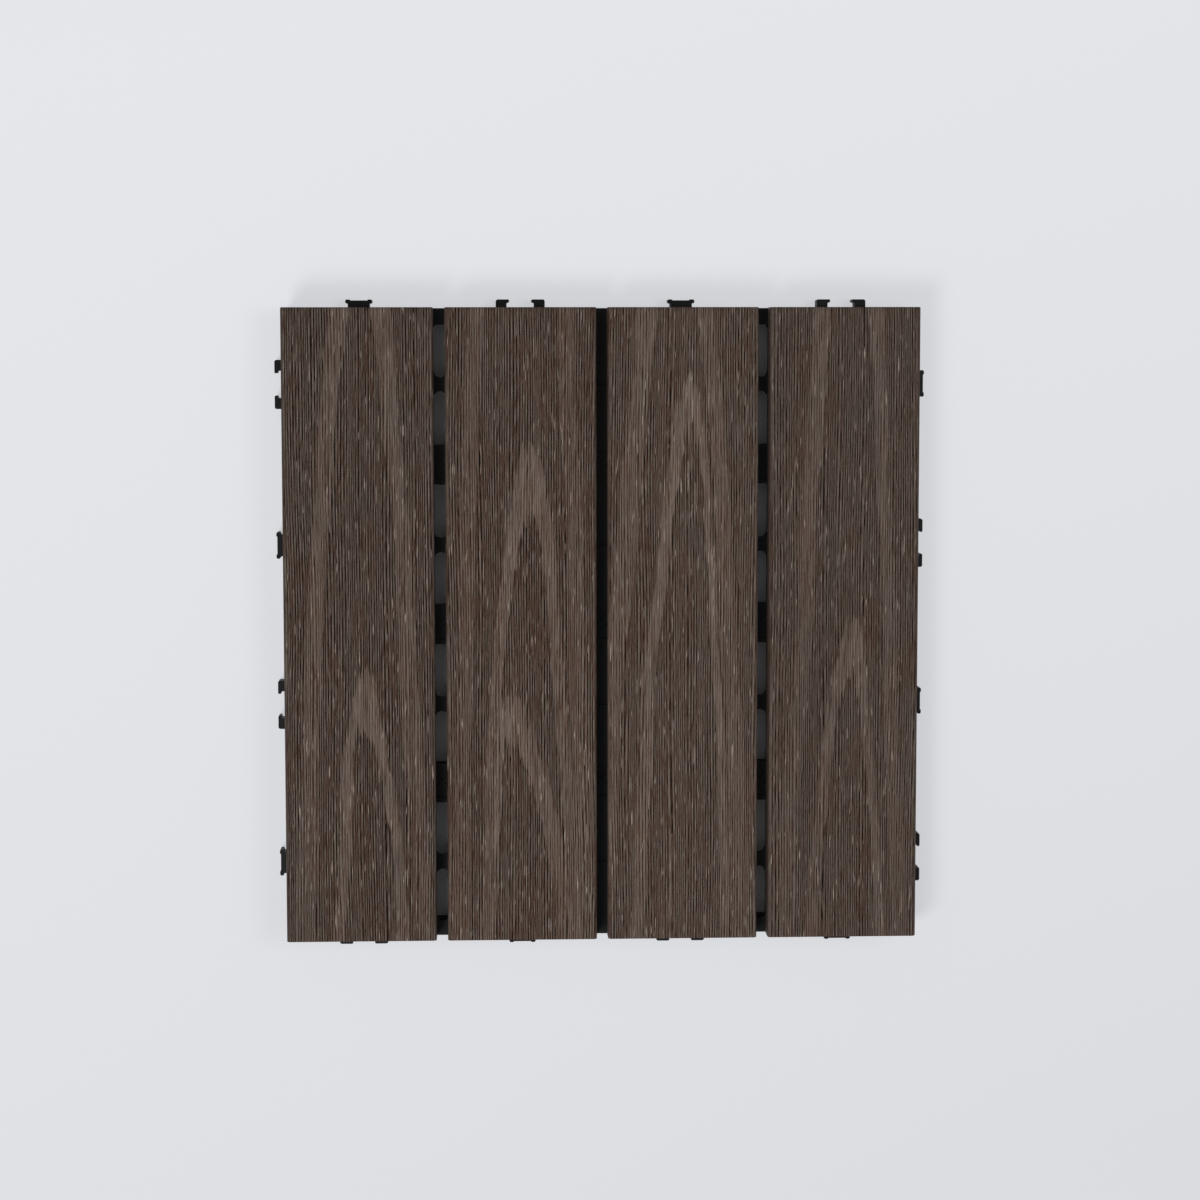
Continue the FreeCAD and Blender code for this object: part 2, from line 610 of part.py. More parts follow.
def main():
    """Build every sub-part and write its shape."""
    doc = FreeCAD.newDocument("deck_tile")
    sheet = fill_sheet(doc)
    fill_plan(doc)
    modules = int(sheet.modules)
    bodies = [make_base(doc, modules)]
    bodies += [make_board(doc, index, modules) for index in range(modules)]
    bodies.append(make_screws(doc))
    doc.recompute()
    check_objects(doc)
    os.makedirs("parts", exist_ok=True)
    for body in bodies:
        shape = body.Shape
        if shape.isNull() or not shape.isValid():
            raise RuntimeError("%s has no sound shape" % body.Label)
        print(body.Label, len(shape.Solids), "solids", round(shape.Volume, 1), shape.BoundBox)
        shape.exportStep("parts/%s.step" % body.Label)


main()
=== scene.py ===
"""Dresses the interlocking deck tile: brushed composite boards on a moulded grid base, in a studio.

Every length is in metres once it reaches a mesh. Sizes are named in millimetres and turned by MM.
"""

import logging
import math
from dataclasses import dataclass, field
from enum import Enum

import bpy
import numpy as np
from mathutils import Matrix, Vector


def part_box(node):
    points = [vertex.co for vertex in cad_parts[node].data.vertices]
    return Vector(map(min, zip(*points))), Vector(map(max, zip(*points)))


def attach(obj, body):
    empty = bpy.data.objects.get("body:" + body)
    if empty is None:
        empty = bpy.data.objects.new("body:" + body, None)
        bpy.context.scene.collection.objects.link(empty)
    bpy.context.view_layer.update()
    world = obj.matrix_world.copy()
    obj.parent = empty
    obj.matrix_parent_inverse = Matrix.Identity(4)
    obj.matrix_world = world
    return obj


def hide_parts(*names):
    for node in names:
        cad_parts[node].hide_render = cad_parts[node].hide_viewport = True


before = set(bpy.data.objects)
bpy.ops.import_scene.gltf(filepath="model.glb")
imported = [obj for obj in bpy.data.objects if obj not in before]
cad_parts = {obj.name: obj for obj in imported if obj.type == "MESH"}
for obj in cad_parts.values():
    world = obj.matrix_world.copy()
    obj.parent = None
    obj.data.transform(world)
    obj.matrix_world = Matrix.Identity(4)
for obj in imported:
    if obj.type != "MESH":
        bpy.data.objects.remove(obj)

LOG = logging.getLogger("deck_tile")
MM = 0.001
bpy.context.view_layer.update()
FIRST_SEED = 41
Tree = bpy.types.NodeTree
Node = bpy.types.Node
Link = tuple[Node, str | int]


class Slot(Enum):
    """The material slot that the record gives the boards."""

    DECK_BOARD = "deck_board"


class Part(Enum):
    """Faces of a board that differ in finish."""

    BRUSHED = 0
    SAWN = 1


def linear(code: str) -> tuple[float, float, float, float]:
    """Turn an sRGB hex colour into linear light, by the sRGB curve.

    Args:
        code: Six hex digits after a hash.

    Returns:
        Red, green, blue and alpha, from 0 to 1.
    """
    parts = [int(code[i:i + 2], 16) / 255 for i in (1, 3, 5)]
    lit = [c / 12.92 if c <= 0.04045 else ((c + 0.055) / 1.055) ** 2.4 for c in parts]
    return (lit[0], lit[1], lit[2], 1.0)


def add_node(
    tree: Tree,
    kind: str,
    values: dict[str | int, object] | None = None,
    links: dict[str | int, Link] | None = None,
    **settings: object,
) -> Node:
    """Add a node with its settings, socket values and incoming links.

    Args:
        tree: The tree that gets the node.
        kind: The node's type name.
        values: Socket name or number to its value.
        links: Socket name or number to the node and output that feed it.
        **settings: The node's own properties.

    Returns:
        The new node.
    """
    node = tree.nodes.new(kind)
    for name, value in settings.items():
        setattr(node, name, value)
    for name, value in (values or {}).items():
        node.inputs[name].default_value = value
    for name, (source, output) in (links or {}).items():
        tree.links.new(source.outputs[output], node.inputs[name])
    return node


def fill_ramp(node: Node, stops: list[tuple[float, str]]) -> None:
    """Put colour stops into a ramp.

    Args:
        node: The ramp's node.
        stops: Places from 0 to 1, each with its hex colour.
    """
    elements = node.color_ramp.elements
    while len(elements) < len(stops):
        elements.new(0.5)
    for element, (place, code) in zip(elements, stops):
        element.position = place
        element.color = linear(code)


def per_mm(across: float, along: float, up: float) -> tuple[float, float, float]:
    """Give a Mapping node's scales for one repeat in so many millimetres each way."""
    return (1 / (across * MM), 1 / (along * MM), 1 / (up * MM))


def new_material(name: str) -> tuple[bpy.types.Material, Tree]:
    """Start an empty material.

    Args:
        name: What the material is.

    Returns:
        The material and its node tree.
    """
    material = bpy.data.materials.new(name)
    material.use_nodes = True
    material.node_tree.nodes.clear()
    return material, material.node_tree


def straight_or_mirrored(tree: Tree) -> Node:
    """Say whether a surface is looked at, straight or through gloss or glass.

    Args:
        tree: The tree that gets the nodes.

    Returns:
        The node whose first output is 1 for camera, glossy and transmission rays, and 0 for others.
    """
    path = add_node(tree, "ShaderNodeLightPath")
    mirrored = add_node(
        tree, "ShaderNodeMath",
        links={0: (path, "Is Glossy Ray"), 1: (path, "Is Transmission Ray")},
        operation="MAXIMUM",
    )
    return add_node(
        tree, "ShaderNodeMath", links={0: (path, "Is Camera Ray"), 1: (mirrored, 0)},
        operation="MAXIMUM",
    )


def close_material(tree: Tree, shader: Node) -> None:
    """Join the shader to the material's output."""
    add_node(tree, "ShaderNodeOutputMaterial", links={"Surface": (shader, "BSDF")})


def smooth_noise(
    random: np.random.Generator,
    shape: tuple[int, int],
    steps: tuple[float, float],
    grain: tuple[float, float],
) -> np.ndarray:
    """Make a field of random lumps of a given size.

    White noise is smoothed by a Gaussian, worked out as a product in the space of its waves, and
    scaled so that its values spread by one about zero.

    Args:
        random: Where the noise comes from.
        shape: How many values each way.
        steps: Distance between neighbouring values each way, in metres.
        grain: Spread of the Gaussian each way, in metres.

    Returns:
        The field.
    """
    waves = np.fft.rfft2(random.standard_normal(shape))
    first = np.fft.fftfreq(shape[0], steps[0])[:, None]
    second = np.fft.rfftfreq(shape[1], steps[1])[None, :]
    keep = np.exp(-2 * math.pi ** 2 * ((first * grain[0]) ** 2 + (second * grain[1]) ** 2))
    values = np.fft.irfft2(waves * keep, s=shape)
    return (values - values.mean()) / values.std()


def soft_step(values: np.ndarray, low: float, high: float) -> np.ndarray:
    """Rise from 0 at low to 1 at high along the curve 3t² - 2t³."""
    share = np.clip((values - low) / (high - low), 0, 1)
    return share * share * (3 - 2 * share)


@dataclass(frozen=True)
class Brushing:
    """How a wire brush leaves a board: an even comb, with deeper grooves and pale fibres in it.

    The real comb has a groove to the millimetre or less. It is drawn a little coarser, or the
    render could not show it. Each size is the spread across and the spread along, in millimetres,
    and the weights are shares of the way from the darkest groove to the palest ridge. The ranges
    are in spreads of their noise.
    """

    pitch: float = 1.2
    wander: float = 0.3
    wander_size: tuple[float, float] = (6.0, 30.0)
    shift: float = 0.25
    shift_size: tuple[float, float] = (1.2, 80.0)
    comb: float = 0.125
    comb_most: float = 2.2
    uneven: float = 0.7
    uneven_size: tuple[float, float] = (0.35, 1.9)
    groove: float = 0.03
    groove_size: tuple[float, float] = (0.10, 2.3)
    groove_range: tuple[float, float] = (0.3, 2.2)
    fibre: float = 0.95
    fibre_size: tuple[float, float] = (0.08, 2.1)
    fibre_range: tuple[float, float] = (2.0, 3.0)
    fuzz: float = 0.025
    fuzz_size: tuple[float, float] = (0.10, 1.5)
    flow: float = 0.009
    flow_size: tuple[float, float] = (0.6, 30.0)
    ring_share: float = 0.35

    def marks(
        self, random: np.random.Generator, rings: np.ndarray, step: tuple[float, float]
    ) -> np.ndarray:
        """Work out how much higher or lower than the rest the brush left each point.

        The comb is a cosine across the board, whose lines wander slowly, lie unevenly spaced and
        vary in depth. Deeper grooves are where one noise is low and pale fibres where another is
        high. The comb and the grooves are shallower on a growth ring, which is harder. The flow
        of the extrusion leaves long faint streaks.

        Args:
            random: Where the noise comes from.
            rings: How much of a growth ring each point is, about 0 to 1, over the section and the
                stations.
            step: Distance between neighbouring points of the section and between stations, in
                metres.

        Returns:
            A value below 0 for a groove and above 0 for a ridge, for each point and station.
        """
        sizes = (
            self.wander_size, self.shift_size, self.uneven_size, self.groove_size,
            self.fibre_size, self.fuzz_size, self.flow_size,
        )
        wander, shift, uneven, groove, fibre, fuzz, flow = (
            smooth_noise(random, rings.shape, step, (wide * MM, long * MM)) for wide, long in sizes
        )
        across = np.arange(rings.shape[0])[:, None] * step[0] / (self.pitch * MM)
        turns = across + self.wander * wander + self.shift * shift
        depth = np.clip(1 + self.uneven * uneven, 0, self.comb_most)
        comb = np.cos(2 * math.pi * turns) * depth
        cut = self.comb * comb - self.groove * soft_step(-groove, *self.groove_range)
        pale = (
            self.fibre * soft_step(fibre, *self.fibre_range)
            + self.fuzz * fuzz
            + self.flow * flow
        )
        return cut * (1 - self.ring_share * np.clip(rings, 0, 1)) + pale


@dataclass(frozen=True)
class BrushedComposite:
    """Wood-plastic composite, extruded and wire-brushed: matt, pale fibres over dark brown.

    The shares say how far a pattern moves a point along the way from groove to ridge.
    """

    name: str = "wood_plastic_composite_brushed"
    groove: str = "#060504"
    ridge: str = "#998b81"
    warm: str = "#76503c"
    cool: str = "#64544a"
    warm_from: float = 0.40
    fibre_wide: float = 0.42
    fibre_long: float = 1.8
    fibre_share: float = 0.16
    patch_wide: float = 9.0
    patch_long: float = 34.0
    ring_hue_share: float = 0.06
    ring_more_share: float = 0.08
    cooling: float = 1.8
    hue_most: float = 1.06
    hue_fall: float = 3.2
    skin_smoother: float = 0.32
    bump_deep: float = 0.05

    def build(self) -> bpy.types.Material:
        """Make the material.

        The ramp's level is the streak, plus a share of fine fibres about zero, plus a share of
        the growth ring. The deeper a point is brushed, the warmer its hue and the more of that
        hue it takes, so that pale fibres are grey. A ring counts less for the hue than for the
        level, and stays brown. The smooth skin, which the brush missed, is less rough.

        Returns:
            A material that reads the board's own grain, streak, skin and tint attributes.
        """
        material, tree = new_material(self.name)
        place = add_node(tree, "ShaderNodeTexCoord")
        fibre_map = add_node(
            tree, "ShaderNodeMapping",
            {"Scale": per_mm(self.fibre_wide, self.fibre_long, self.fibre_wide)},
            {"Vector": (place, "Object")},
        )
        fine = add_node(
            tree, "ShaderNodeTexNoise", {"Scale": 1.0, "Detail": 3.0}, {"Vector": (fibre_map, 0)}
        )
        patch_map = add_node(
            tree, "ShaderNodeMapping",
            {"Scale": per_mm(self.patch_wide, self.patch_long, self.patch_wide)},
            {"Vector": (place, "Object")},
        )
        patch = add_node(
            tree, "ShaderNodeTexNoise", {"Scale": 1.0, "Detail": 2.0}, {"Vector": (patch_map, 0)}
        )
        streak = add_node(tree, "ShaderNodeAttribute", attribute_name="streak")
        grain = add_node(tree, "ShaderNodeAttribute", attribute_name="grain")
        fibred = add_node(
            tree, "ShaderNodeMath", {1: self.fibre_share}, {0: (fine, 0), 2: (streak, "Fac")},
            operation="MULTIPLY_ADD",
        )
        # A noise lies about a half, so half its share is taken off again.
        plain = add_node(
            tree, "ShaderNodeMath", {1: self.fibre_share / 2}, {0: (fibred, 0)},
            operation="SUBTRACT",
        )
        ringed = add_node(
            tree, "ShaderNodeMath", {1: self.ring_hue_share}, {0: (grain, "Fac"), 2: (plain, 0)},
            operation="MULTIPLY_ADD",
        )
        level = add_node(
            tree, "ShaderNodeMath", {1: self.ring_more_share}, {0: (grain, "Fac"), 2: (ringed, 0)},
            operation="MULTIPLY_ADD",
        )
        ramp = add_node(tree, "ShaderNodeValToRGB", links={"Fac": (level, 0)})
        fill_ramp(ramp, [(0.0, self.groove), (1.0, self.ridge)])
        tint = add_node(tree, "ShaderNodeAttribute", attribute_name="tint")
        shade = add_node(
            tree, "ShaderNodeMath", links={0: (patch, 0), 1: (tint, "Fac")}, operation="ADD"
        )
        warmth = add_node(
            tree, "ShaderNodeMath", {1: -self.cooling}, {0: (ringed, 0), 2: (shade, 0)},
            operation="MULTIPLY_ADD",
        )
        hue = add_node(tree, "ShaderNodeValToRGB", links={"Fac": (warmth, 0)})
        fill_ramp(hue, [(0.0, self.cool), (self.warm_from, self.warm)])
        strength = add_node(
            tree, "ShaderNodeMath", {1: -self.hue_fall, 2: self.hue_most}, {0: (ringed, 0)},
            operation="MULTIPLY_ADD", use_clamp=True,
        )
        toned = add_node(
            tree, "ShaderNodeMix", links={0: (strength, 0), 6: (ramp, "Color"), 7: (hue, "Color")},
            data_type="RGBA", blend_type="COLOR",
        )
        matt = add_node(
            tree, "ShaderNodeMapRange", {"To Min": 0.70, "To Max": 0.90}, {"Value": (fine, 0)}
        )
        skin = add_node(tree, "ShaderNodeAttribute", attribute_name="skin")
        rough = add_node(
            tree, "ShaderNodeMath", {1: -self.skin_smoother}, {0: (skin, "Fac"), 2: (matt, 0)},
            operation="MULTIPLY_ADD",
        )
        bump = add_node(
            tree, "ShaderNodeBump", {"Strength": 0.6, "Distance": self.bump_deep * MM},
            {"Height": (fine, 0)},
        )
        shader = add_node(
            tree, "ShaderNodeBsdfPrincipled", {"IOR": 1.46, "Specular IOR Level": 0.06},
            {"Base Color": (toned, 2), "Roughness": (rough, 0), "Normal": (bump, 0)},
        )
        close_material(tree, shader)
        return material


@dataclass(frozen=True)
class SawnComposite:
    """The same composite where a saw crossed it: a speckle of cut fibres in dark plastic."""

    name: str = "wood_plastic_composite_sawn"
    dark: str = "#2e2723"
    pale: str = "#6b5e55"
    dark_to: float = 0.35
    pale_from: float = 0.72
    grit: float = 0.8
    bump_deep: float = 0.08

    def build(self) -> bpy.types.Material:
        """Make the material.

        Returns:
            A speckled matt material.
        """
        material, tree = new_material(self.name)
        place = add_node(tree, "ShaderNodeTexCoord")
        mapping = add_node(
            tree, "ShaderNodeMapping", {"Scale": per_mm(self.grit, self.grit, self.grit)},
            {"Vector": (place, "Object")},
        )
        noise = add_node(
            tree, "ShaderNodeTexNoise", {"Scale": 1.0, "Detail": 3.0}, {"Vector": (mapping, 0)}
        )
        ramp = add_node(tree, "ShaderNodeValToRGB", links={"Fac": (noise, 0)})
        fill_ramp(ramp, [(self.dark_to, self.dark), (self.pale_from, self.pale)])
        bump = add_node(
            tree, "ShaderNodeBump", {"Strength": 0.7, "Distance": self.bump_deep * MM},
            {"Height": (noise, 0)},
        )
        shader = add_node(
            tree, "ShaderNodeBsdfPrincipled", {"Roughness": 0.85, "IOR": 1.46},
            {"Base Color": (ramp, "Color"), "Normal": (bump, 0)},
        )
        close_material(tree, shader)
        return material


@dataclass(frozen=True)
class MouldedPolypropylene:
    """Injection-moulded black polypropylene.

    A satin skin with the fine grain of a spark-eroded mould, faintly scuffed.
    """

    name: str = "polypropylene_moulded_black"
    low: str = "#070809"
    high: str = "#0f1011"
    low_to: float = 0.32
    high_from: float = 0.70
    scuff: str = "#2a2b2d"
    grain_wide: float = 0.35
    cloud_wide: float = 22.0
    scuff_wide: float = 6.0
    scuff_thin: float = 0.5
    bump_deep: float = 0.02

    def build(self) -> bpy.types.Material:
        """Make the material.

        Returns:
            A dark plastic with slow clouds, a fine grain and faint scuffs.
        """
        material, tree = new_material(self.name)
        place = add_node(tree, "ShaderNodeTexCoord")
        grain_map = add_node(
            tree, "ShaderNodeMapping",
            {"Scale": per_mm(self.grain_wide, self.grain_wide, self.grain_wide)},
            {"Vector": (place, "Object")},
        )
        grain = add_node(
            tree, "ShaderNodeTexNoise", {"Scale": 1.0, "Detail": 2.0}, {"Vector": (grain_map, 0)}
        )
        cloud_map = add_node(
            tree, "ShaderNodeMapping",
            {"Scale": per_mm(self.cloud_wide, self.cloud_wide, self.cloud_wide)},
            {"Vector": (place, "Object")},
        )
        cloud = add_node(
            tree, "ShaderNodeTexNoise", {"Scale": 1.0, "Detail": 3.0}, {"Vector": (cloud_map, 0)}
        )
        scuff_map = add_node(
            tree, "ShaderNodeMapping",
            {"Scale": per_mm(self.scuff_wide, self.scuff_thin, self.scuff_wide)},
            {"Vector": (place, "Object")},
        )
        scuff = add_node(
            tree, "ShaderNodeTexNoise", {"Scale": 1.0, "Detail": 2.0}, {"Vector": (scuff_map, 0)}
        )
        tone = add_node(tree, "ShaderNodeValToRGB", links={"Fac": (cloud, 0)})
        fill_ramp(tone, [(self.low_to, self.low), (self.high_from, self.high)])
        worn = add_node(
            tree, "ShaderNodeMapRange", {"From Min": 0.62, "From Max": 0.80, "To Max": 0.5},
            {"Value": (scuff, 0)},
        )
        colour = add_node(
            tree, "ShaderNodeMix", {7: linear(self.scuff)}, {0: (worn, 0), 6: (tone, "Color")},
            data_type="RGBA",
        )
        rough = add_node(
            tree, "ShaderNodeMapRange", {"To Min": 0.38, "To Max": 0.58}, {"Value": (cloud, 0)}
        )
        bump = add_node(
            tree, "ShaderNodeBump", {"Strength": 0.5, "Distance": self.bump_deep * MM},
            {"Height": (grain, 0)},
        )
        shader = add_node(
            tree, "ShaderNodeBsdfPrincipled", {"IOR": 1.49, "Specular IOR Level": 0.12},
            {"Base Color": (colour, 2), "Roughness": (rough, 0), "Normal": (bump, 0)},
        )
        close_material(tree, shader)
        return material


@dataclass(frozen=True)
class StainlessSteel:
    """Cold-headed stainless steel, tumbled: bright grey, slightly uneven and softly blurred."""

    name: str = "stainless_steel_tumbled"
    low: str = "#a9a8a4"
    high: str = "#c9c8c3"
    low_to: float = 0.3
    high_from: float = 0.7
    grain_wide: float = 0.5

    def build(self) -> bpy.types.Material:
        """Make the material.

        Returns:
            A metal with uneven gloss.
        """
        material, tree = new_material(self.name)
        place = add_node(tree, "ShaderNodeTexCoord")
        grain_map = add_node(
            tree, "ShaderNodeMapping",
            {"Scale": per_mm(self.grain_wide, self.grain_wide, self.grain_wide)},
            {"Vector": (place, "Object")},
        )
        noise = add_node(
            tree, "ShaderNodeTexNoise", {"Scale": 1.0, "Detail": 3.0}, {"Vector": (grain_map, 0)}
        )
        tone = add_node(tree, "ShaderNodeValToRGB", links={"Fac": (noise, 0)})
        fill_ramp(tone, [(self.low_to, self.low), (self.high_from, self.high)])
        rough = add_node(
            tree, "ShaderNodeMapRange", {"To Min": 0.24, "To Max": 0.42}, {"Value": (noise, 0)}
        )
        shader = add_node(
            tree, "ShaderNodeBsdfPrincipled", {"Metallic": 1.0},
            {"Base Color": (tone, "Color"), "Roughness": (rough, 0)},
        )
        close_material(tree, shader)
        return material


@dataclass(frozen=True)
class StudioBoard:
    """Pale matt board under the tile, a little darker towards the bottom of the picture: a painted
    fall-off of light.

    Seen straight or mirrored, part of its light is its own, so that the tile's shadow on it is
    faint. It is clear from below, so that the tile's underside can be looked at.
    """

    name: str = "studio_board_matt"
    near: str = "#e4e5e9"
    far: str = "#d8d9dd"
    reach: float = 600.0
    turn: float = 80.0
    start: float = 0.5
    lift: float = 0.72
    tile_half: float = 149.0
    edge_soft: float = 1.5

    def build(self) -> bpy.types.Material:
        """Make the material.

        Returns:
            A matt board with a slow change of shade, painted as a fall-off of light.
        """
        material, tree = new_material(self.name)
        place = add_node(tree, "ShaderNodeTexCoord")
        # Painted light: the colour goes slowly from near to far, in place of the lamps' light
        # falling off over the board.
        slant = {
            "Scale": per_mm(self.reach, self.reach, self.reach),
            "Rotation": (0, 0, math.radians(self.turn)),
            "Location": (self.start, 0, 0),
        }
        mapping = add_node(tree, "ShaderNodeMapping", slant, {"Vector": (place, "Object")})
        painted_falloff = add_node(tree, "ShaderNodeTexGradient", links={"Vector": (mapping, 0)})
        ramp = add_node(tree, "ShaderNodeValToRGB", links={"Fac": (painted_falloff, "Fac")})
        fill_ramp(ramp, [(0.0, self.near), (1.0, self.far)])
        matt = add_node(
            tree, "ShaderNodeBsdfPrincipled", {"Roughness": 0.9, "IOR": 1.3},
            {"Base Color": (ramp, "Color")},
        )
        glow = add_node(
            tree, "ShaderNodeEmission", {"Strength": 1.0}, {"Color": (ramp, "Color")}
        )
        seen = straight_or_mirrored(tree)
        outside = self._outside(tree, place)
        share = add_node(
            tree, "ShaderNodeMath", links={0: (outside, 0), 1: (seen, 0)}, operation="MULTIPLY"
        )
        lifted = add_node(
            tree, "ShaderNodeMath", {1: self.lift}, {0: (share, 0)}, operation="MULTIPLY"
        )
        both = add_node(
            tree, "ShaderNodeMixShader",
            links={0: (lifted, 0), 1: (matt, "BSDF"), 2: (glow, "Emission")},
        )
        side = add_node(tree, "ShaderNodeNewGeometry")
        clear = add_node(tree, "ShaderNodeBsdfTransparent")
        one_sided = add_node(
            tree, "ShaderNodeMixShader",
            links={0: (side, "Backfacing"), 1: (both, "Shader"), 2: (clear, "BSDF")},
        )
        add_node(tree, "ShaderNodeOutputMaterial", links={"Surface": (one_sided, "Shader")})
        return material

    def _outside(self, tree: Tree, place: Node) -> Node:
        """Say where the board lies clear of the tile: 1 there and 0 under it.

        Args:
            tree: The tree that gets the nodes.
            place: The Texture Coordinate node.

        Returns:
            The node whose first output says so.
        """
        axes = add_node(tree, "ShaderNodeSeparateXYZ", links={"Vector": (place, "Object")})
        across = add_node(tree, "ShaderNodeMath", links={0: (axes, "X")}, operation="ABSOLUTE")
        along = add_node(tree, "ShaderNodeMath", links={0: (axes, "Y")}, operation="ABSOLUTE")
        furthest = add_node(
            tree, "ShaderNodeMath", links={0: (across, 0), 1: (along, 0)}, operation="MAXIMUM"
        )
        edge = {
            "From Min": (self.tile_half - self.edge_soft) * MM,
            "From Max": self.tile_half * MM,
        }
        return add_node(tree, "ShaderNodeMapRange", edge, {"Value": (furthest, 0)})


@dataclass(frozen=True)
class Arch:
    """One pale growth ring that crosses a board's face as a tall arch, open towards -Y.

    Its outer edge is a parabola with a blunt tip: the square of the distance from the axis is the
    spread times the distance below the tip. Its inner edge is a narrower parabola, whose tip lies
    lower by the depth of the tip. The legs fade along a Gaussian.
    """

    tip_x: float
    tip_y: float
    left_spread: float
    right_spread: float
    tip_deep: float = 25.0
    strength: float = 1.0
    tip_soft: tuple[float, float] = (-2.0, 4.0)
    inner_share: float = 0.64
    outer_soft: float = 1.3
    inner_soft: float = 0.7
    inner_line: float = 0.35
    blunt: float = 3.0
    fade: float = 190.0

    def lightness(self, x: np.ndarray, y: np.ndarray) -> np.ndarray:
        """Say how pale the ring makes each point.

        The share that lies inside the outer edge, less the share inside the inner edge, and a
        thin dark line just inside the inner edge.

        Args:
            x: Places across the board from its middle, in millimetres.
            y: Places along the tile, in millimetres.

        Returns:
            0 outside the ring and its strength on it, slightly negative on the dark line.
        """
        off = x - self.tip_x
        spread = np.where(off < 0, self.left_spread, self.right_spread)
        below = self.tip_y - y
        outer = np.sqrt(spread * np.maximum(below + self.blunt, 0))
        outer = outer * soft_step(below, *self.tip_soft)
        inner = np.sqrt(self.inner_share * spread * np.maximum(below - self.tip_deep, 0))
        distance = np.abs(off)
        within = soft_step(outer - distance, 0, self.outer_soft) * (below > 0)
        hollow = soft_step(inner - distance, 0, self.inner_soft) * (below > self.tip_deep)
        line = np.exp(-((inner - distance - self.inner_soft) / self.inner_soft) ** 2) * hollow
        fading = np.exp(-(np.maximum(below, 0) / self.fade) ** 2)
        return self.strength * fading * (within * (1 - hollow) - self.inner_line * line)


@dataclass(frozen=True)
class BoardLook:
    """What sets one board apart: its rings, how pale and warm it is, and how deep it is brushed."""

    arches: tuple[Arch, ...]
    level: float
    tint: float
    depth: float = 1.0


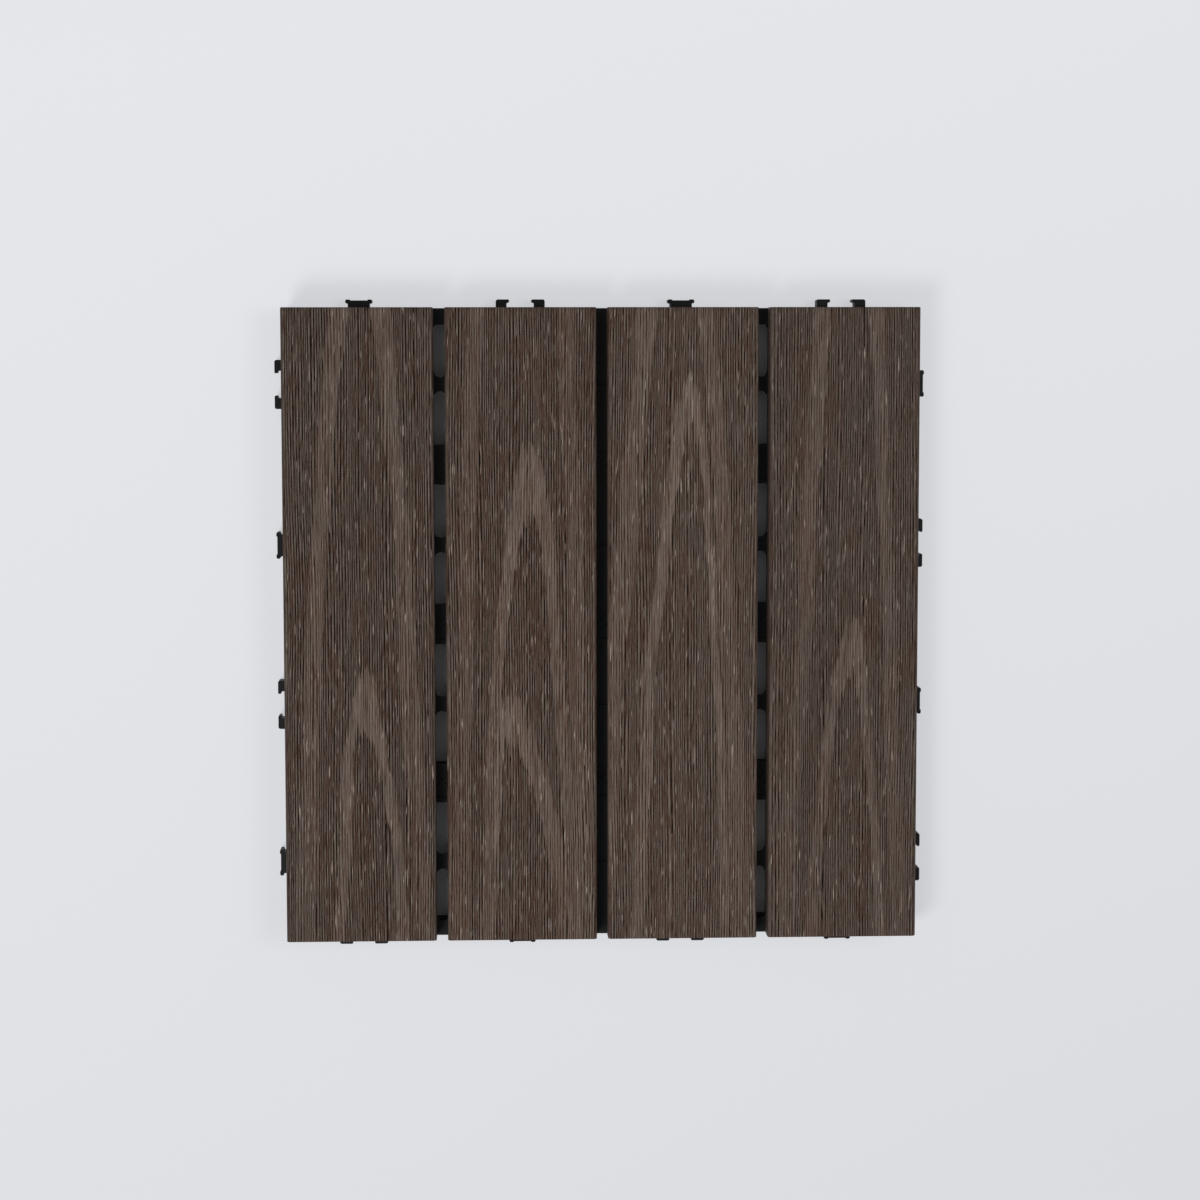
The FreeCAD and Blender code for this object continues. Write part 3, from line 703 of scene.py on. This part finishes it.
@dataclass
class DeckBoard:
    """One solid board: an extruded section with round long edges, a brushed face and sawn ends.

    Each size of a noise is the spread across and the spread along, in millimetres.
    """

    node: str
    seed: int
    look: BoardLook
    edge_round: float = 1.3
    under_round: float = 0.6
    end_break: float = 0.3
    columns: int = 380
    stations: int = 200
    arc_steps: int = 6
    side_steps: int = 24
    under_steps: int = 10
    brushing: Brushing = Brushing()
    groove_deep: float = 0.10
    ridge_level: float = 0.4
    side_share: float = 0.4
    sway: float = 0.6
    sway_size: tuple[float, float] = (12.0, 18.0)
    ragged: float = 3.0
    ragged_size: tuple[float, float] = (0.3, 3.5)
    streaky: float = 0.35
    streaky_size: tuple[float, float] = (0.2, 4.0)
    ring_range: tuple[float, float] = (-0.4, 1.5)
    parts: dict[Part, bpy.types.Material] = field(default_factory=dict)

    def __post_init__(self) -> None:
        """Read the board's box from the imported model."""
        self.low, self.high = (np.array(corner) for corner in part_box(self.node))
        self.random = np.random.default_rng(self.seed)

    def section(self) -> tuple[np.ndarray, np.ndarray, np.ndarray]:
        """Work out the section's outline, going left to right over the top and back underneath.

        The flat runs are even steps and each corner is a quarter circle, given by the cosine and
        sine of an angle that falls by even steps. Brushing fades in over twice the round.

        Returns:
            Places across, places up, and how far each point may be brushed, from 0 to 1.
        """
        top, under = self.edge_round * MM, self.under_round * MM
        x0, x1 = self.low[0], self.high[0]
        z0, z1 = self.low[2], self.high[2]
        runs = [
            (np.linspace(x0 + top, x1 - top, self.columns), np.full(self.columns, z1)),
            self._corner(x1 - top, z1 - top, top, 90),
            self._run(x1, z1 - top, x1, z0 + under, self.side_steps),
            self._corner(x1 - under, z0 + under, under, 0),
            self._run(x1 - under, z0, x0 + under, z0, self.under_steps),
            self._corner(x0 + under, z0 + under, under, -90),
            self._run(x0, z0 + under, x0, z1 - top, self.side_steps),
            self._corner(x0 + top, z1 - top, top, 180),
        ]
        x = np.concatenate([run[0] for run in runs])
        z = np.concatenate([run[1] for run in runs])
        flat = np.zeros_like(x)
        flat[:self.columns] = 1
        edge = np.minimum(x - (x0 + top), (x1 - top) - x)
        return x, z, flat * soft_step(edge, 0, 2 * top)

    def _corner(
        self, x: float, z: float, radius: float, start: float
    ) -> tuple[np.ndarray, np.ndarray]:
        """Give a quarter circle's inner points, turning clockwise from an angle in degrees."""
        angles = np.radians(np.linspace(start, start - 90, self.arc_steps + 1)[1:-1])
        return x + radius * np.cos(angles), z + radius * np.sin(angles)

    @staticmethod
    def _run(
        x0: float, z0: float, x1: float, z1: float, steps: int
    ) -> tuple[np.ndarray, np.ndarray]:
        """Give the points of a straight run, both ends included."""
        return np.linspace(x0, x1, steps + 1), np.linspace(z0, z1, steps + 1)

    def rings(self, x: np.ndarray, y: np.ndarray) -> np.ndarray:
        """Work out how pale the growth rings make each point.

        Each ring is an arch. Two noises move the points before the arches are read: one sways the
        rings sideways, and one, fine across and long along, gives their edges ragged tips. A
        third makes the rings streaky.

        Args:
            x: Places across, in metres, for each point of the section.
            y: Places along, in metres, for each station.

        Returns:
            A value about 0 between the rings and up to 1 on them.
        """
        sizes = (self.sway_size, self.ragged_size, self.streaky_size)
        steps = (x[1] - x[0], y[1] - y[0])
        sway, ragged, streaky = (
            smooth_noise(self.random, (len(x), len(y)), steps, (wide * MM, long * MM))
            for wide, long in sizes
        )
        middle = (self.low[0] + self.high[0]) / 2
        across = (x[:, None] - middle) / MM + self.sway * sway
        along = y[None, :] / MM + self.ragged * ragged
        pale = sum(arch.lightness(across, along) for arch in self.look.arches)
        return np.clip(pale * (1 + self.streaky * streaky), *self.ring_range)

    def build(self) -> bpy.types.Object:
        """Make the board's mesh and put it in place of the plain solid.

        The section is carried along Y and sunk by the grooves where it is flat. Both ends are
        drawn in by the end break, and take the marks of the station next to them.

        Returns:
            The finished piece.
        """
        x, z, flat = self.section()
        inset = self.end_break * MM
        inner = np.linspace(self.low[1] + inset, self.high[1] - inset, self.stations)
        y = np.concatenate([[self.low[1]], inner, [self.high[1]]])
        grain = self.rings(x, inner)
        step = (x[1] - x[0], inner[1] - inner[0])
        marks = self.look.depth * self.brushing.marks(self.random, grain, step)
        marks[self.columns:] *= self.side_share
        streak = np.clip(self.look.level + marks, 0, 1)
        streak, grain = (np.pad(v, ((0, 0), (1, 1)), mode="edge") for v in (streak, grain))
        sunk = flat[:, None] * np.maximum(1 - streak / self.ridge_level, 0) * self.groove_deep * MM
        centre_x, centre_z = ((self.low + self.high) / 2)[[0, 2]]
        shrink = np.zeros(len(y))
        shrink[[0, -1]] = inset
        scale_x = 1 - shrink / (centre_x - self.low[0])
        scale_z = 1 - shrink / (centre_z - self.low[2])
        points = np.empty((len(x), len(y), 3))
        points[:, :, 0] = centre_x + (x[:, None] - centre_x) * scale_x
        points[:, :, 1] = y
        points[:, :, 2] = centre_z + (z[:, None] - centre_z - sunk) * scale_z
        mesh = self._mesh(points)
        layers = {
            "streak": streak,
            "grain": grain,
            "skin": np.repeat(1 - flat[:, None], len(y), axis=1),
            "tint": np.full(streak.shape, self.look.tint),
        }
        for name, values in layers.items():
            layer = mesh.attributes.new(name, "FLOAT", "POINT")
            padded = np.concatenate([values.ravel(), values[0, [0, -1]]])
            layer.data.foreach_set("value", padded.astype(np.float32))
        piece = bpy.data.objects.new(mesh.name, mesh)
        bpy.context.scene.collection.objects.link(piece)
        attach(piece, "root")
        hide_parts(self.node)
        return piece

    def _mesh(self, points: np.ndarray) -> bpy.types.Mesh:
        """Join a closed tube of points, with a fan over each end.

        Each point of the section joins the next one, and the last joins the first. A face's
        corners go along the section, then along Y, so that it looks outwards.

        Args:
            points: A grid of places: section, station, and X, Y and Z.

        Returns:
            The mesh, with its flat end faces marked as sawn.
        """
        rows, cols = points.shape[:2]
        numbers = np.arange(rows * cols).reshape(rows, cols)
        after = np.roll(numbers, -1, axis=0)
        corners = (numbers[:, :-1], numbers[:, 1:], after[:, 1:], after[:, :-1])
        sides = np.stack(corners, axis=-1).reshape(-1, 4)
        near, far = rows * cols, rows * cols + 1
        ends = np.concatenate([
            np.stack([np.full(rows, near), numbers[:, 0], after[:, 0]], axis=-1),
            np.stack([np.full(rows, far), after[:, -1], numbers[:, -1]], axis=-1),
        ])
        centres = np.stack([points[:, 0].mean(axis=0), points[:, -1].mean(axis=0)])
        places = np.concatenate([points.reshape(-1, 3), centres])
        mesh = bpy.data.meshes.new(self.node.replace("deck_board", "brushed_board"))
        mesh.vertices.add(len(places))
        mesh.vertices.foreach_set("co", places.astype(np.float32).ravel())
        loops = np.concatenate([sides.ravel(), ends.ravel()])
        starts = np.concatenate([
            np.arange(len(sides)) * 4,
            len(sides) * 4 + np.arange(len(ends)) * 3,
        ])
        mesh.loops.add(len(loops))
        mesh.loops.foreach_set("vertex_index", loops.astype(np.int32))
        mesh.polygons.add(len(starts))
        mesh.polygons.foreach_set("loop_start", starts.astype(np.int32))
        finish = np.full(len(starts), Part.BRUSHED.value, np.int32)
        finish[len(sides):] = Part.SAWN.value
        mesh.polygons.foreach_set("material_index", finish)
        mesh.polygons.foreach_set("use_smooth", finish == Part.BRUSHED.value)
        mesh.update(calc_edges=True)
        mesh.validate()
        for part in Part:
            mesh.materials.append(self.parts[part])
        return mesh


def board_looks() -> list[BoardLook]:
    """List what sets each board apart, left to right, with the arches in millimetres.

    Returns:
        One look per board.
    """
    return [
        BoardLook((
            Arch(1.0, 225, 2.9, 2.9, tip_deep=60, strength=0.8, fade=400),
            Arch(3.5, -21, 2.7, 2.9, tip_deep=26),
        ), level=0.163, tint=-0.06),
        BoardLook((
            Arch(0.0, 480, 1.9, 1.9, tip_deep=80, strength=0.6, fade=900),
            Arch(3.5, 87, 2.6, 2.6, tip_deep=32, fade=230),
            Arch(-6.0, -33, 0.9, 8.5, tip_deep=20, fade=110),
        ), level=0.174, tint=0.08),
        BoardLook((
            Arch(-1.0, 230, 5.2, 3.1, tip_deep=45, strength=0.7, fade=400),
            Arch(4.0, 117, 3.4, 1.5, fade=300),
        ), level=0.190, tint=0.08, depth=0.95),
        BoardLook((
            Arch(2.0, 260, 2.6, 2.2, tip_deep=60, strength=0.7, fade=400),
            Arch(4.0, 4, 3.1, 1.9, strength=0.8),
        ), level=0.173, tint=-0.08, depth=0.82),
    ]


@dataclass(frozen=True)
class PackedNode:
    """A piece that keeps the solid's own shape and gets a finish."""

    node: str
    finish: MouldedPolypropylene | StainlessSteel

    def dress(self) -> bpy.types.Object:
        """Give the solid its finish.

        Returns:
            The dressed piece.
        """
        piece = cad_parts[self.node]
        material = self.finish.build()
        piece.data.materials.clear()
        piece.data.materials.append(material)
        return piece


@dataclass(frozen=True)
class Lamp:
    """A square soft lamp that faces the tile: its place and side in millimetres, and its watts."""

    name: str
    place: tuple[float, float, float]
    side: float
    power: float

    def hang(self) -> None:
        """Put the lamp in the scene."""
        lamp = bpy.data.lights.new(self.name, "AREA")
        lamp.shape = "SQUARE"
        lamp.size = self.side * MM
        lamp.energy = self.power
        holder = bpy.data.objects.new(self.name, lamp)
        holder.location = Vector(self.place) * MM
        holder.rotation_euler = (-holder.location).to_track_quat("-Z", "Y").to_euler()
        bpy.context.scene.collection.objects.link(holder)


@dataclass(frozen=True)
class Studio:
    """The floor, the lamps, the surrounding light and the camera."""

    floor_half: float = 4000.0
    world_shade: str = "#ffffff"
    world_strength: float = 0.30
    backdrop: str = "#dfe0e4"
    lamps: tuple[Lamp, ...] = (
        Lamp("left_lamp", (-1000.0, -1050.0, 1900.0), 900.0, 42.0),
        Lamp("right_lamp", (1200.0, 300.0, 1900.0), 900.0, 16.0),
    )
    camera_place: tuple[float, float, float] = (-58.55, 131.55, 1329.0)
    camera_turn: tuple[float, float, float] = (-5.196, -2.523, -0.061)
    camera_lens: float = 83.52
    camera_sensor: float = 36.0
    camera_far: float = 100.0

    def build(self) -> None:
        """Set up everything round the tile."""
        self._floor()
        for lamp in self.lamps:
            lamp.hang()
        self._world()
        self._camera()
        bpy.context.scene.view_settings.view_transform = "Standard"

    def _floor(self) -> None:
        """Lay the pale floor at the tile's feet."""
        half = self.floor_half * MM
        corners = [(-half, -half, 0), (half, -half, 0), (half, half, 0), (-half, half, 0)]
        mesh = bpy.data.meshes.new("studio_floor")
        mesh.from_pydata(corners, [], [(0, 1, 2, 3)])
        mesh.materials.append(StudioBoard().build())
        floor = bpy.data.objects.new("studio_floor", mesh)
        bpy.context.scene.collection.objects.link(floor)

    def _world(self) -> None:
        """Surround the tile with even white light and a pale backdrop."""
        world = bpy.data.worlds.new("studio_light")
        world.use_nodes = True
        tree = world.node_tree
        tree.nodes.clear()
        light = add_node(
            tree, "ShaderNodeBackground",
            {"Color": linear(self.world_shade), "Strength": self.world_strength},
        )
        look = add_node(
            tree, "ShaderNodeBackground", {"Color": linear(self.backdrop), "Strength": 1.0}
        )
        seen = straight_or_mirrored(tree)
        both = add_node(
            tree, "ShaderNodeMixShader",
            links={0: (seen, 0), 1: (light, "Background"), 2: (look, "Background")},
        )
        add_node(tree, "ShaderNodeOutputWorld", links={"Surface": (both, "Shader")})
        bpy.context.scene.world = world

    def _camera(self) -> None:
        """Put the camera above the tile, where the photograph's was."""
        lens = bpy.data.cameras.new("camera")
        lens.sensor_width = self.camera_sensor
        lens.lens = self.camera_lens
        lens.clip_end = self.camera_far
        camera = bpy.data.objects.new("camera", lens)
        camera.location = Vector(self.camera_place) * MM
        camera.rotation_euler = [math.radians(angle) for angle in self.camera_turn]
        bpy.context.scene.collection.objects.link(camera)
        bpy.context.scene.camera = camera


def main() -> None:
    """Build the boards, dress the base and the screws, and set up the studio."""
    logging.basicConfig(level=logging.INFO, format="%(message)s")
    finishes = {Part.BRUSHED: BrushedComposite().build(), Part.SAWN: SawnComposite().build()}
    pieces = [
        DeckBoard(f"deck_board_{number + 1}", FIRST_SEED + number, look, parts=finishes).build()
        for number, look in enumerate(board_looks())
    ]
    pieces.append(PackedNode("grid_base", MouldedPolypropylene()).dress())
    pieces.append(PackedNode("board_screws", StainlessSteel()).dress())
    for piece in pieces:
        LOG.info("%s: %d faces", piece.name, len(piece.data.polygons))
    Studio().build()


if __name__ == "__main__":
    main()
